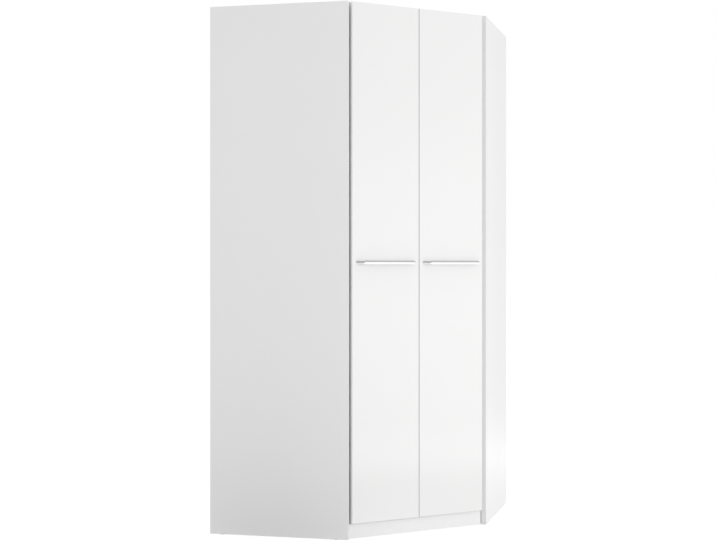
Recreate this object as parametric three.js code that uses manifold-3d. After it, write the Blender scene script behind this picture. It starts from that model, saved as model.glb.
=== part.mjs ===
// A five-sided corner wardrobe with two doors across the corner, in millimetres, +Z up.
//
// The front faces -Y. The two rear walls meet in a square corner at +Y and stand against the
// walls of a room. Each side panel stands square to its rear wall, so it meets the door front at
// 45 degrees. The origin is on the floor, in the middle of the box that bounds the whole object.
//
// The left half is modelled once and mirrored, apart from the boards that cross the middle.

import * as THREE from "three";
import { mergeVertices } from "three/addons/utils/BufferGeometryUtils.js";
import Module from "manifold-3d";

const wasm = await Module();
wasm.setup();

// Overall sizes
const HEIGHT = 1930; // floor to the top of the side panels
const WALL_LENGTH = 950; // room corner to the outside of a side panel
const SIDE_DEPTH = 522; // room wall to the front edge of a side panel

// Boards
const SIDE_THICKNESS = 18;
const BOARD_THICKNESS = 16; // top, bottom, shelf, plinth and stretcher
const SEAM = 0.3; // hairline between two pieces that are pressed or rest together
const OVERRUN = 4; // how far a cutting tool runs past the piece that it cuts

// Rear walls: thin boards held in grooves
const BACK_THICKNESS = 3;
const BACK_INSET = 10; // room wall to the groove
const GROOVE_DEPTH = 8;
const BACK_HEM = 5; // a back board ends this far below the top and below the bottom board
const POST_LEG = 60; // corner post, along each rear wall
const STRIP_WEB = 1.2; // walls of the joint strip between the two boards of one rear wall
const STRIP_WIDTH = 22;

// Plinth and glides
const GLIDE_HEIGHT = 2;
const GLIDE_RADIUS = 8;
const GLIDE_EDGE = 0.8; // bevel round the foot of a glide
const GLIDE_SETBACK = 45; // from either end of the board above it
const PLINTH_HEIGHT = 52.6;
const PLINTH_LIFT = 1.4; // its lower edge above the side panels' lower edges
const PLINTH_SETBACK = 15; // its face behind the doors' faces

// Doors
const DOOR_THICKNESS = 22;
const DOOR_PROUD = 1.5; // door face in front of the side panels' outer corners
const DOOR_SIDE_GAP = 5; // door edge to the inner front corner of the side panel
const DOOR_MIDDLE_GAP = 2; // between the two doors
const DOOR_TOP_GAP = 1; // top of the side panels to the top of a door
const DOOR_BOTTOM_GAP = 2; // plinth's upper edge to a door's lower edge
const DOOR_ROUND = 1.6; // rounded front edge

// Buffers: soft domes on the doors that meet the top board's front edge
const BUFFER_RADIUS = 4.5;
const BUFFER_ROUND = 1.6;
const BUFFER_FROM_EDGE = 24; // door's inner edge to a buffer

// Handles: a cast bow whose crowned bar bends down into two leaning legs
const HANDLE_HEIGHT = 995; // floor to the middle of the bar
const HANDLE_MARGIN = 14.5; // door's side edges to the ends of the handle
const HANDLE_LEAN = 19; // how far a leg leans outwards on its way to the door
const HANDLE_PROJECTION = 30;
const HANDLE_BEND = 9; // length of the bend on either side of its corner
const HANDLE_BAR_DEPTH = 8;
const HANDLE_TALL = 14; // bar
const HANDLE_LEG_TALL = 11;
const HANDLE_FOOT = 15; // leg where it meets the door
const HANDLE_CROWN = 3.6; // how far the bar's face bulges
const HANDLE_EDGE = 1.2; // bevel along the back of the bar

// Hinges: single-pivot cup hinges for a door at 45 degrees to its side panel
const HINGE_END_DISTANCE = 100; // door end to the nearest hinge
const HINGE_ABOVE_HANDLE = 150; // middle hinge above the handle
const CUP_RADIUS = 17.5;
const CUP_EDGE_DISTANCE = 3; // door edge to the bore for the cup
const CUP_WALL = 1.2;
const CUP_FLOOR = 0.9;
const CUP_SKIN = 6.6; // door left in front of the bore
const CUP_FLANGE = 1.2;
const CUP_FLANGE_LIP = 1.6; // flange past the cup all round
const CUP_SCREW_SPACING = 48;
const CUP_SCREW_OFFSET = 6; // screws further from the door edge than the cup's middle
const CUP_WING_WIDTH = 13;
const SCREW_HOLE_RADIUS = 2.2;
const EAR_LENGTH = 3.4; // bearing of the pin on each side
const EAR_WALL = 2; // cup metal round the pin
const PIN_RADIUS = 1.2;
const PIN_PLAY = 0.2;
const KNUCKLE_WALL = 0.9;
const KNUCKLE_WIDTH = 11;
const HINGE_PLAY = 0.35; // between the arm and the cup
const HOOK_PLAY = 0.8; // between the arm's hook and the door corner that turns inside it
const SWING_PLAY = 0.7; // between the turning door corner and the carcass
const ARM_THICKNESS = 3;
const WEB_TURN = 3; // degrees that the arm's web dips into the cup when the door is shut
const ARM_SETBACK = 6; // side panel's front edge to the wide part of the arm
const ARM_LENGTH = 58; // wide part
const ARM_WIDTH = 17;
const ARM_CHEEK = 1.8;
const ARM_SLOT_LENGTH = 14;
const ARM_SLOT_WIDTH = 5;
const PLATE_SETBACK = 37; // side panel's front edge to the plate's screws
const PLATE_SCREW_SPACING = 32;
const PLATE_WING = 2.4;
const PLATE_WING_WIDTH = 13;
const PLATE_RIB_LENGTH = 40;

// Shelf and its pins
const HAT_SPACE = 324; // clear height above the shelf
const SHELF_SETBACK = 22; // shelf behind the carcass front
const SHELF_SIDE_GAP = 2; // shelf to a side panel, wide enough for a peg's collar
const PIN_BORE_RADIUS = 2.8;
const PIN_BORE_DEPTH = 9;
const PIN_PITCH = 32;
const PIN_BORES_EACH_WAY = 2; // spare bores above and below the one in use
const PIN_ROW_FRONT = 75; // side panel's front edge to the row
const PIN_ROW_REAR = 70; // room wall to the row
const PEG_RADIUS = 2.5;
const PEG_COLLAR_RADIUS = 4.5;
const PEG_COLLAR = 1.2;
const PEG_REST = 8; // stub that the shelf lies on

// Clothes rail
const RAIL_LENGTH = 820;
const RAIL_PLACE = 400; // outer front corners' line to the rail
const RAIL_TALL = 30;
const RAIL_WIDE = 15;
const RAIL_WALL = 1.2;
const RAIL_DROP = 44; // shelf to the top of the rail
const SOCKET_WALL = 3;
const SOCKET_GRIP = 16; // how much of the rail a support holds
const SUPPORT_FLANGE = 3;
const SUPPORT_FLANGE_LENGTH = 52;
const SUPPORT_STEM = 9;

// Wall brackets
const BRACKET_LEG = 28;
const BRACKET_WIDTH = 18;
const BRACKET_THICKNESS = 2;
const BRACKET_HOLE_RADIUS = 2.6;
const BRACKET_PLACE = 300; // room corner to the bracket

// How round things are drawn
const CUP_SIDES = 24;
const SMALL_SIDES = 12;
const GLIDE_SIDES = 20;
const END_ARC_STEPS = 6;
const CROWN_STEPS = 8;
const ROUND_STEPS = 3;
const BEND_STEPS = 6;

// Places that follow from the sizes, in the front frame: x to the right, y to the rear, with the
// origin on the floor midway between the side panels' outer front corners.
const DIAGONAL = Math.SQRT2;
const HALF_FRONT = (WALL_LENGTH - SIDE_DEPTH) / DIAGONAL;
const CORNER_Y = (WALL_LENGTH + SIDE_DEPTH) / DIAGONAL;
const sideInside = WALL_LENGTH - SIDE_THICKNESS; // from the room corner, along a rear wall
const doorFront = -DOOR_PROUD;
const doorBack = doorFront + DOOR_THICKNESS;
const doorEdge = -HALF_FRONT + SIDE_THICKNESS / DIAGONAL + DOOR_SIDE_GAP;
const doorInner = -DOOR_MIDDLE_GAP / 2;
const doorMiddle = (doorEdge + doorInner) / 2;
const plinthUnder = GLIDE_HEIGHT + PLINTH_LIFT;
const bottomUnder = plinthUnder + PLINTH_HEIGHT;
const doorBottom = bottomUnder + DOOR_BOTTOM_GAP;
const doorTop = HEIGHT - DOOR_TOP_GAP;
const topUnder = HEIGHT - BOARD_THICKNESS;
const shelfUnder = topUnder - HAT_SPACE - BOARD_THICKNESS;

// The hinge pin lies as near the door's edge as the round cup lets its knuckle lie.
const knuckleRadius = PIN_RADIUS + PIN_PLAY + KNUCKLE_WALL;
const cavityRadius = CUP_RADIUS - CUP_WALL;
const cupInset = CUP_EDGE_DISTANCE + CUP_RADIUS + SEAM;
const knuckleReach = KNUCKLE_WIDTH / 2 + HINGE_PLAY;
const cavityStart = cupInset - Math.sqrt(cavityRadius ** 2 - knuckleReach ** 2);
const pinInset = cavityStart + knuckleRadius + HINGE_PLAY;
const cavityFloor = CUP_SKIN + SEAM + CUP_FLOOR; // behind the door's face
const pinBehindFace = cavityFloor + knuckleRadius + HINGE_PLAY;
const cornerSwing = Math.hypot(pinInset, DOOR_THICKNESS - pinBehindFace);
const pinX = doorEdge + pinInset;
const pinY = doorFront + pinBehindFace;
const carcassFront = pinY + cornerSwing + SWING_PLAY;

// The same pin seen from the side panel: how far inside its inner face, and in front of its edge.
const pinInward = (pinX + HALF_FRONT + pinY) / DIAGONAL - SIDE_THICKNESS;
const pinAhead = (pinX + HALF_FRONT - pinY) / DIAGONAL;
const hookInside = cornerSwing + HOOK_PLAY;
const hookOutside = hookInside + ARM_THICKNESS;

const shelfFront = carcassFront + SHELF_SETBACK;

// Materials
const finish = (name, color, roughness, metalness) =>
  Object.assign(new THREE.MeshStandardMaterial({ color, roughness, metalness }), { name });
const whiteBoard = finish("white_board", 0xf0f0ee, 0.5, 0);
const glossFront = finish("gloss_front", 0xf5f5f4, 0.12, 0);
const backBoard = finish("back_board", 0xeeeeec, 0.6, 0);
const chrome = finish("chrome", 0xd4d6d8, 0.12, 1);
const plated = finish("plated_steel", 0xb9bcbe, 0.32, 1);
const plastic = finish("white_plastic", 0xe9e9e6, 0.45, 0);

// Solids and meshes

function solidOf(geometry) {
  const loose = geometry.index ? geometry.toNonIndexed() : geometry.clone();
  loose.deleteAttribute("normal");
  loose.deleteAttribute("uv");
  const merged = mergeVertices(loose);
  return new wasm.Manifold(
    new wasm.Mesh({
      numProp: 3,
      vertProperties: merged.attributes.position.array,
      triVerts: merged.index.array,
    }),
  );
}

function geometryOf(solid) {
  const made = solid.getMesh();
  const geometry = new THREE.BufferGeometry();
  geometry.setAttribute("position", new THREE.BufferAttribute(made.vertProperties, 3));
  geometry.setIndex(new THREE.BufferAttribute(made.triVerts, 1));
  geometry.computeVertexNormals();
  return geometry;
}

const join = (...pieces) =>
  geometryOf(pieces.map(solidOf).reduce((whole, piece) => whole.add(piece)));
const cut = (body, ...tools) =>
  geometryOf(tools.map(solidOf).reduce((left, tool) => left.subtract(tool), solidOf(body)));
const common = (a, b) => geometryOf(solidOf(a).intersect(solidOf(b)));

function piece(name, geometry, material) {
  const mesh = new THREE.Mesh(geometry, material);
  mesh.name = name;
  return mesh;
}

// A box from its lowest corner to its highest.
function block([x0, y0, z0], [x1, y1, z1]) {
  const box = new THREE.BoxGeometry(x1 - x0, y1 - y0, z1 - z0);
  return box.translate((x0 + x1) / 2, (y0 + y1) / 2, (z0 + z1) / 2);
}

const outline = (points) => new THREE.Shape(points.map(([x, y]) => new THREE.Vector2(x, y)));

// An outline in plan, raised from one height to another.
function upright(shape, from, to, curveSegments = SMALL_SIDES) {
  const raised = new THREE.ExtrudeGeometry(shape, {
    depth: to - from,
    bevelEnabled: false,
    curveSegments,
  });
  return raised.translate(0, 0, from);
}

// An outline drawn on x and z, as seen from the front, filled from one depth to another.
const facing = (shape, from, to, curveSegments) =>
  upright(shape, -to, -from, curveSegments).rotateX(Math.PI / 2);

// An outline drawn on y and z, filled along x.
const sideways = (shape, from, to, curveSegments) =>
  upright(shape, from, to, curveSegments).rotateX(Math.PI / 2).rotateZ(Math.PI / 2);

// Round bars along each axis, centred on the two other coordinates.
function roundUp(radius, x, y, from, to, sides) {
  const bar = new THREE.CylinderGeometry(radius, radius, to - from, sides);
  return bar.rotateX(Math.PI / 2).translate(x, y, (from + to) / 2);
}

function roundBack(radius, x, z, from, to, sides) {
  const bar = new THREE.CylinderGeometry(radius, radius, to - from, sides);
  return bar.translate(x, (from + to) / 2, z);
}

function roundAcross(radius, y, z, from, to, sides) {
  const bar = new THREE.CylinderGeometry(radius, radius, to - from, sides);
  return bar.rotateZ(Math.PI / 2).translate((from + to) / 2, y, z);
}

// Frames. In a wall frame x runs from the room corner along the left rear wall and y along the
// right one. In a hinge frame x runs into the wardrobe, square to the side panel, and y runs back
// along it, with the origin on the pin.

function wallFrame() {
  const frame = new THREE.Group();
  frame.position.set(0, CORNER_Y, 0);
  frame.rotation.z = -Math.PI + Math.PI / 4;
  return frame;
}

function hingeFrame(height) {
  const frame = new THREE.Group();
  frame.position.set(pinX, pinY, height);
  frame.rotation.z = Math.PI / 4;
  return frame;
}

// Carcass boards

// The pegs' line: the shelf lies on the top of the pegs.
const pegHeight = shelfUnder - PEG_RADIUS;
const postPegPlace = (SIDE_THICKNESS + POST_LEG) / 2; // middle of the corner post's inner face

function sidePanel(name) {
  const board = block(
    [sideInside, 0, GLIDE_HEIGHT],
    [WALL_LENGTH, SIDE_DEPTH, HEIGHT],
  );
  const groove = block(
    [sideInside - OVERRUN, BACK_INSET, GLIDE_HEIGHT - OVERRUN],
    [sideInside + GROOVE_DEPTH, BACK_INSET + grooveWidth, HEIGHT + OVERRUN],
  );
  const bores = [];
  for (const row of [PIN_ROW_REAR, SIDE_DEPTH - PIN_ROW_FRONT]) {
    for (let step = -PIN_BORES_EACH_WAY; step <= PIN_BORES_EACH_WAY; step++) {
      const z = pegHeight + step * PIN_PITCH;
      const end = sideInside + PIN_BORE_DEPTH;
      bores.push(roundAcross(PIN_BORE_RADIUS, row, z, sideInside - OVERRUN, end, SMALL_SIDES));
    }
  }
  return piece(name, cut(board, groove, ...bores), whiteBoard);
}

const grooveWidth = BACK_THICKNESS + 2 * SEAM;
const rearEdge = BACK_INSET + grooveWidth; // rear edges of top and bottom, from the room wall
const shelfRear = rearEdge + STRIP_WEB + SEAM; // the shelf stays clear of the joint strips

// A horizontal board's outline in a wall frame, with its front edge a given way behind the outer
// front corners, a gap to the side panels and the corner post, and its rear edges at a given
// distance from the room walls.
function boardOutline(frontY, gap, rear) {
  const side = sideInside - gap;
  const frontSum = (CORNER_Y - frontY) * DIAGONAL; // x + y along the front edge
  const face = SIDE_THICKNESS + gap;
  const end = POST_LEG + gap;
  const half = [
    [side, frontSum - side],
    [side, rear],
    [end, rear],
    [end, face],
  ];
  const mirrored = half.map(([x, y]) => [y, x]).reverse();
  return outline([...half, [face, face], ...mirrored]);
}

function horizontalBoard(name, under, frontY, gap, rear) {
  const shape = boardOutline(frontY, gap, rear);
  return piece(name, upright(shape, under, under + BOARD_THICKNESS), whiteBoard);
}

function cornerPost() {
  const ell = outline([
    [0, 0],
    [POST_LEG, 0],
    [POST_LEG, SIDE_THICKNESS],
    [SIDE_THICKNESS, SIDE_THICKNESS],
    [SIDE_THICKNESS, POST_LEG],
    [0, POST_LEG],
  ]);
  const low = GLIDE_HEIGHT - OVERRUN;
  const high = HEIGHT + OVERRUN;
  const start = POST_LEG - GROOVE_DEPTH;
  const end = POST_LEG + OVERRUN;
  const grooves = [
    block([start, BACK_INSET, low], [end, rearEdge, high]),
    block([BACK_INSET, start, low], [rearEdge, end, high]),
  ];
  const pegBore = roundBack(
    PIN_BORE_RADIUS,
    postPegPlace,
    pegHeight,
    SIDE_THICKNESS - PIN_BORE_DEPTH,
    SIDE_THICKNESS + OVERRUN,
    SMALL_SIDES,
  );
  const post = upright(ell, GLIDE_HEIGHT, HEIGHT);
  return piece("rear_corner_post", cut(post, ...grooves, pegBore), whiteBoard);
}

// Half the width between the side panels, less a gap, at a depth in the front frame.
const halfBetweenSides = (y, gap) => HALF_FRONT + y - (SIDE_THICKNESS + gap) * DIAGONAL;

const plinthFront = doorFront + PLINTH_SETBACK;
const plinthBack = plinthFront + BOARD_THICKNESS;

function plinth() {
  const front = halfBetweenSides(plinthFront, SEAM);
  const rear = halfBetweenSides(plinthBack, SEAM);
  const shape = outline([
    [-front, plinthFront],
    [front, plinthFront],
    [rear, plinthBack],
    [-rear, plinthBack],
  ]);
  return piece("plinth", upright(shape, plinthUnder, bottomUnder), whiteBoard);
}

const stretcherStart = plinthBack + SEAM;
const postInnerCorner = CORNER_Y - SIDE_THICKNESS * DIAGONAL;
const stretcherEnd = postInnerCorner - BOARD_THICKNESS / 2 - SEAM * DIAGONAL;

function stretcher() {
  const half = BOARD_THICKNESS / 2;
  const board = block(
    [-half, stretcherStart, GLIDE_HEIGHT],
    [half, stretcherEnd, bottomUnder],
  );
  return piece("plinth_stretcher", board, whiteBoard);
}

function glide(name, x, y) {
  const profile = [
    [0, 0],
    [GLIDE_RADIUS - GLIDE_EDGE, 0],
    [GLIDE_RADIUS, GLIDE_EDGE],
    [GLIDE_RADIUS, GLIDE_HEIGHT],
    [0, GLIDE_HEIGHT],
  ].map(([radius, z]) => new THREE.Vector2(radius, z));
  const disc = new THREE.LatheGeometry(profile, GLIDE_SIDES).rotateX(Math.PI / 2);
  return piece(name, disc.translate(x, y, 0), plastic);
}

// Rear walls

const backOuter = BACK_INSET + SEAM;
const backInner = backOuter + BACK_THICKNESS;
const backStart = POST_LEG - GROOVE_DEPTH + SEAM;
const backEnd = sideInside + GROOVE_DEPTH - SEAM;
const backMiddle = (backStart + backEnd) / 2;
const backLow = bottomUnder - BACK_HEM;
const backHigh = HEIGHT - BACK_HEM;
const stripLow = bottomUnder + BOARD_THICKNESS + SEAM;
const stripHigh = topUnder - SEAM;

function backBoardPiece(name, from, to) {
  const board = block([from, backOuter, backLow], [to, backInner, backHigh]);
  return piece(name, board, backBoard);
}

// An H-shaped strip: its web lies between two boards and its flanges cover the seam on both sides.
function jointStrip(name) {
  const web = STRIP_WEB / 2;
  const half = STRIP_WIDTH / 2;
  const behind = backOuter - SEAM;
  const inside = backInner + SEAM;
  const side = [
    [half, behind - STRIP_WEB],
    [half, behind],
    [web, behind],
    [web, inside],
    [half, inside],
    [half, inside + STRIP_WEB],
  ];
  const otherSide = side.map(([x, y]) => [-x, y]).reverse();
  const shape = outline([...side, ...otherSide].map(([x, y]) => [backMiddle + x, y]));
  return piece(name, upright(shape, stripLow, stripHigh), plastic);
}

// Shelf pegs, lying along x with the stub towards -x

function peg(name) {
  const inBore = PIN_BORE_DEPTH - SEAM;
  const profile = [
    [0, -inBore],
    [PEG_RADIUS, -inBore],
    [PEG_RADIUS, SEAM],
    [PEG_COLLAR_RADIUS, SEAM],
    [PEG_COLLAR_RADIUS, SEAM + PEG_COLLAR],
    [PEG_RADIUS, SEAM + PEG_COLLAR],
    [PEG_RADIUS, SEAM + PEG_COLLAR + PEG_REST],
    [0, SEAM + PEG_COLLAR + PEG_REST],
  ].map(([radius, along]) => new THREE.Vector2(radius, along));
  const turned = new THREE.LatheGeometry(profile, SMALL_SIDES);
  return piece(name, turned, plated);
}

// Clothes rail

const railTop = shelfUnder - RAIL_DROP;
const railMiddle = railTop - RAIL_TALL / 2;

// An upright oval with half-round ends, grown by a margin on every side.
function oval(margin, y, z) {
  const radius = RAIL_WIDE / 2 + margin;
  const straight = (RAIL_TALL - RAIL_WIDE) / 2;
  const shape = new THREE.Shape();
  shape.absarc(y, z + straight, radius, 0, Math.PI, false);
  shape.absarc(y, z - straight, radius, Math.PI, 2 * Math.PI, false);
  return shape;
}

function clothesRail() {
  const half = RAIL_LENGTH / 2;
  const outside = sideways(oval(0, RAIL_PLACE, railMiddle), -half, half);
  const inside = oval(-RAIL_WALL, RAIL_PLACE, railMiddle);
  const hollow = sideways(inside, -half - OVERRUN, half + OVERRUN);
  return piece("clothes_rail", cut(outside, hollow), chrome);
}

// A socket closed at its outer end, on a stem under a flange that is screwed to the shelf.
function railSupport(name) {
  const end = -RAIL_LENGTH / 2 - SEAM;
  const outer = end - SOCKET_WALL;
  const inner = end + SOCKET_GRIP;
  const socket = sideways(oval(SEAM + SOCKET_WALL, RAIL_PLACE, railMiddle), outer, inner);
  const bore = sideways(oval(SEAM, RAIL_PLACE, railMiddle), end, inner + OVERRUN);
  const flangeHalf = SUPPORT_FLANGE_LENGTH / 2;
  const stemHalf = SUPPORT_STEM / 2;
  const low = shelfUnder - SUPPORT_FLANGE;
  const flange = block(
    [outer, RAIL_PLACE - flangeHalf, low],
    [inner, RAIL_PLACE + flangeHalf, shelfUnder],
  );
  const stem = block(
    [outer, RAIL_PLACE - stemHalf, railTop + SEAM],
    [inner, RAIL_PLACE + stemHalf, low + SUPPORT_FLANGE / 2],
  );
  const screwHoles = [-1, 1].map((way) => {
    const y = RAIL_PLACE + (way * (flangeHalf + stemHalf)) / 2;
    const x = (outer + inner) / 2;
    return roundUp(SCREW_HOLE_RADIUS, x, y, low - OVERRUN, shelfUnder + OVERRUN, SMALL_SIDES);
  });
  return piece(name, cut(join(socket, flange, stem), bore, ...screwHoles), chrome);
}

// Wall brackets: an angle under the top board, with its upright leg against the back board

function wallBracket(name) {
  const wall = backInner + SEAM;
  const half = BRACKET_WIDTH / 2;
  const low = topUnder - BRACKET_LEG;
  const level = block(
    [BRACKET_PLACE - half, wall, topUnder - BRACKET_THICKNESS],
    [BRACKET_PLACE + half, wall + BRACKET_LEG, topUnder],
  );
  const leg = block(
    [BRACKET_PLACE - half, wall, low],
    [BRACKET_PLACE + half, wall + BRACKET_THICKNESS, topUnder],
  );
  const holeFar = BRACKET_LEG / 2 + BRACKET_THICKNESS;
  const levelHole = roundUp(
    BRACKET_HOLE_RADIUS,
    BRACKET_PLACE,
    wall + holeFar,
    low,
    HEIGHT,
    SMALL_SIDES,
  );
  const legHole = roundBack(
    BRACKET_HOLE_RADIUS,
    BRACKET_PLACE,
    topUnder - holeFar,
    0,
    wall + BRACKET_THICKNESS + OVERRUN,
    SMALL_SIDES,
  );
  return piece(name, cut(join(level, leg), levelHole, legHole), plated);
}

// Doors

const cupX = doorEdge + cupInset;
const hingeHeights = {
  lower: doorBottom + HINGE_END_DISTANCE,
  middle: HANDLE_HEIGHT + HINGE_ABOVE_HANDLE,
  upper: doorTop - HINGE_END_DISTANCE,
};
const boreFloor = doorFront + CUP_SKIN;

function door(name) {
  const face = outline([
    [doorEdge, doorBottom],
    [doorInner, doorBottom],
    [doorInner, doorTop],
    [doorEdge, doorTop],
  ]);
  const rounded = new THREE.ExtrudeGeometry(face, {
    depth: DOOR_THICKNESS,
    bevelThickness: DOOR_ROUND,
    bevelSize: DOOR_ROUND,
    bevelOffset: -DOOR_ROUND,
    bevelSegments: ROUND_STEPS,
    curveSegments: 1,
  });
  // The extrusion runs towards -y, with a rounded rim at each end. The rear rim is cut off.
  const board = rounded.rotateX(Math.PI / 2).translate(0, doorBack + DOOR_ROUND, 0);
  const rear = block(
    [doorEdge - OVERRUN, doorBack, doorBottom - OVERRUN],
    [doorInner + OVERRUN, doorBack + 2 * DOOR_ROUND + OVERRUN, doorTop + OVERRUN],
  );
  const bores = Object.values(hingeHeights).map((z) =>
    roundBack(CUP_RADIUS + SEAM, cupX, z, boreFloor, doorBack + OVERRUN, CUP_SIDES),
  );
  return piece(name, cut(board, rear, ...bores), glossFront);
}

// Door buffer: a flat foot on the back of the door and a rounded head

function buffer(name) {
  const tall = carcassFront - doorBack - 2 * SEAM;
  const profile = [
    [0, 0],
    [BUFFER_RADIUS, 0],
    [BUFFER_RADIUS, tall - BUFFER_ROUND],
  ];
  for (let step = 1; step <= ROUND_STEPS; step++) {
    const turn = ((step / ROUND_STEPS) * Math.PI) / 2;
    const radius = BUFFER_RADIUS - BUFFER_ROUND * (1 - Math.cos(turn));
    profile.push([radius, tall - BUFFER_ROUND * (1 - Math.sin(turn))]);
  }
  profile.push([0, tall]);
  const points = profile.map(([radius, along]) => new THREE.Vector2(radius, along));
  const dome = new THREE.LatheGeometry(points, GLIDE_SIDES);
  const height = HEIGHT - BOARD_THICKNESS / 2;
  dome.translate(doorInner - BUFFER_FROM_EDGE, doorBack + SEAM, height);
  return piece(name, dome, plastic);
}

// Handle: a section that changes on its way from one foot, round the bends, to the other foot

// A closed body through rings of equally many points.
function loft(rings) {
  const count = rings[0].length;
  const last = (rings.length - 1) * count;
  const faces = [];
  for (let start = 0; start < last; start += count) {
    for (let i = 0; i < count; i++) {
      const here = start + i;
      const next = start + ((i + 1) % count);
      faces.push(here, next, next + count);
      faces.push(here, next + count, here + count);
    }
  }
  for (let i = 1; i < count - 1; i++) {
    faces.push(0, i + 1, i);
    faces.push(last, last + i, last + i + 1);
  }
  const geometry = new THREE.BufferGeometry();
  geometry.setAttribute("position", new THREE.Float32BufferAttribute(rings.flat(2), 3));
  geometry.setIndex(faces);
  geometry.computeVertexNormals();
  return geometry;
}

// The section as [outwards, up] points: a crowned face, and a flat back with bevelled edges.
function handleSection(thick, tall) {
  const section = [];
  for (let step = 0; step <= CROWN_STEPS; step++) {
    const turn = (step / CROWN_STEPS - 1 / 2) * Math.PI;
    const outwards = thick / 2 - HANDLE_CROWN * (1 - Math.cos(turn));
    section.push([outwards, (tall / 2) * Math.sin(turn)]);
  }
  const bevelled = tall / 2 - HANDLE_EDGE;
  section.push([HANDLE_EDGE - thick / 2, tall / 2], [-thick / 2, bevelled]);
  section.push([-thick / 2, -bevelled], [HANDLE_EDGE - thick / 2, -tall / 2]);
  return section;
}

// Places along the right half of the bow, from its foot to the end of its bend.
function handleStations() {
  const half = (doorInner - doorEdge) / 2 - HANDLE_MARGIN;
  const barY = doorFront - HANDLE_PROJECTION + HANDLE_BAR_DEPTH / 2;
  const foot = new THREE.Vector2(half - HANDLE_FOOT / 2, doorFront - SEAM);
  const corner = new THREE.Vector2(half - HANDLE_LEAN, barY);
  const legEnd = foot.clone().sub(corner).setLength(HANDLE_BEND).add(corner);
  const barEnd = new THREE.Vector2(corner.x - HANDLE_BEND, barY);
  const bend = new THREE.QuadraticBezierCurve(legEnd, corner, barEnd).getPoints(BEND_STEPS);
  const stations = [{ at: foot, thick: HANDLE_FOOT, tall: HANDLE_LEG_TALL }];
  bend.forEach((at, step) => {
    const tall = THREE.MathUtils.lerp(HANDLE_LEG_TALL, HANDLE_TALL, step / BEND_STEPS);
    stations.push({ at, thick: HANDLE_BAR_DEPTH, tall });
  });
  return stations;
}

function handle(name) {
  const right = handleStations();
  const left = right.map(({ at, thick, tall }) => {
    return { at: new THREE.Vector2(-at.x, at.y), thick, tall };
  });
  const stations = [...right, ...left.reverse()];
  const end = stations.length - 1;
  const rings = stations.map(({ at, thick, tall }, index) => {
    const before = stations[Math.max(index - 1, 0)].at;
    const after = stations[Math.min(index + 1, end)].at;
    const ahead = after.clone().sub(before).normalize();
    if (index === 0) ahead.set(0, -1); // a foot's ring lies flat on the door
    if (index === end) ahead.set(0, 1);
    return handleSection(thick, tall).map(([outwards, up]) => {
      const x = doorMiddle + at.x - ahead.y * outwards;
      return [x, at.y + ahead.x * outwards, HANDLE_HEIGHT + up];
    });
  });
  return piece(name, loft(rings), chrome);
}

// Hinge cup, with its flange on the back of the door and two ears for the pin

function hingeCup(name, height) {
  const flangeFront = doorBack + SEAM;
  const flangeBack = flangeFront + CUP_FLANGE;
  const floor = boreFloor + SEAM;
  const cup = roundBack(CUP_RADIUS, cupX, height, floor, flangeBack, CUP_SIDES);
  const rim = CUP_RADIUS + CUP_FLANGE_LIP;
  const disc = roundBack(rim, cupX, height, flangeFront, flangeBack, CUP_SIDES);
  const wingX = cupX + CUP_SCREW_OFFSET;
  const wingHalf = CUP_WING_WIDTH / 2;
  const screwHalf = CUP_SCREW_SPACING / 2;
  const wings = new THREE.Shape();
  wings.absarc(wingX, height + screwHalf, wingHalf, 0, Math.PI, false);
  wings.absarc(wingX, height - screwHalf, wingHalf, Math.PI, 2 * Math.PI, false);
  const wingPlate = facing(wings, flangeFront, flangeBack, END_ARC_STEPS);
  const cavity = roundBack(
    cavityRadius,
    cupX,
    height,
    floor + CUP_FLOOR,
    flangeBack + OVERRUN,
    CUP_SIDES,
  );
  const screwHoles = [-1, 1].map((way) =>
    roundBack(
      SCREW_HOLE_RADIUS,
      wingX,
      height + way * screwHalf,
      flangeFront - OVERRUN,
      flangeBack + OVERRUN,
      SMALL_SIDES,
    ),
  );
  const bearing = PIN_RADIUS + PIN_PLAY;
  const earTop = pinY + bearing + EAR_WALL;
  const earBlocks = [-1, 1].map((way) => {
    const inner = height + way * knuckleReach;
    const outer = height + way * CUP_RADIUS;
    return block(
      [pinX - bearing - EAR_WALL, floor, Math.min(inner, outer)],
      [pinX + bearing + EAR_WALL, earTop, Math.max(inner, outer)],
    );
  });
  const inCup = roundBack(CUP_RADIUS, cupX, height, floor, flangeBack, CUP_SIDES);
  const ears = common(join(...earBlocks), inCup);
  const pinHalf = knuckleReach + EAR_LENGTH;
  const pinBore = roundUp(bearing, pinX, pinY, height - pinHalf, height + pinHalf, SMALL_SIDES);
  const shell = cut(join(cup, disc, wingPlate), cavity, ...screwHoles);
  return piece(name, cut(join(shell, ears), pinBore), plated);
}

function hingePin(name, height) {
  const half = knuckleReach + EAR_LENGTH - PIN_PLAY;
  return piece(name, roundUp(PIN_RADIUS, pinX, pinY, height - half, height + half, SMALL_SIDES), plated);
}

// Hinge arm, in a hinge frame: a knuckle on the pin, a web that lies in the cup, a hook round the
// door's corner, and a channel that clips over the mounting plate

const insideFace = -pinInward; // the side panel's inner face
const frontEdge = pinAhead; // its front edge
const plateTop = hookInside - SEAM;

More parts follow.
